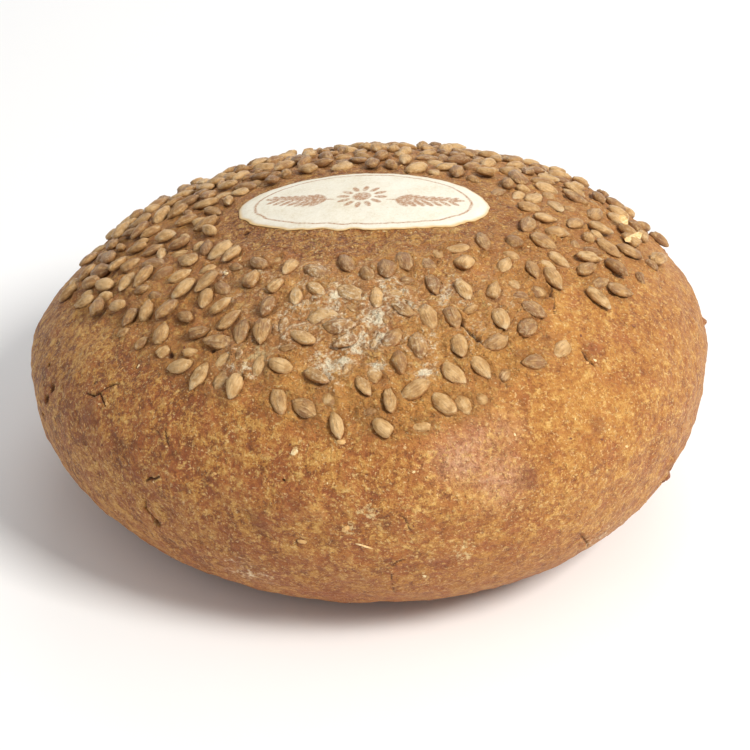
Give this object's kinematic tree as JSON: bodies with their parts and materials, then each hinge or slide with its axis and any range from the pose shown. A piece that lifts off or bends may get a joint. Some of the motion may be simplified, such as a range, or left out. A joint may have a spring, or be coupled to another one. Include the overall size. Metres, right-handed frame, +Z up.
{
  "type": "sunflower seed bread",
  "caption": "Round hearth-baked wholemeal loaf with sunflower kernels pressed into its crown and an oval wafer label.",
  "frame": {"origin": "centre of the flat base that the loaf rests on", "axes": "+Z up through the crown, +X along the label's length towards the picture's right, -Y towards the front of the picture"},
  "size_m": [0.2162, 0.224, 0.1008],
  "materials": {
    "crust": "baked wholemeal crust, orange-brown, mottled with bran, matt with a faint sheen",
    "wafer": "thin edible wafer, off-white, matt, edge toasted brown"
  },
  "bodies": {
    "root": {"loaf": "crust", "wafer_label": "wafer"}
  },
  "joints": []
}
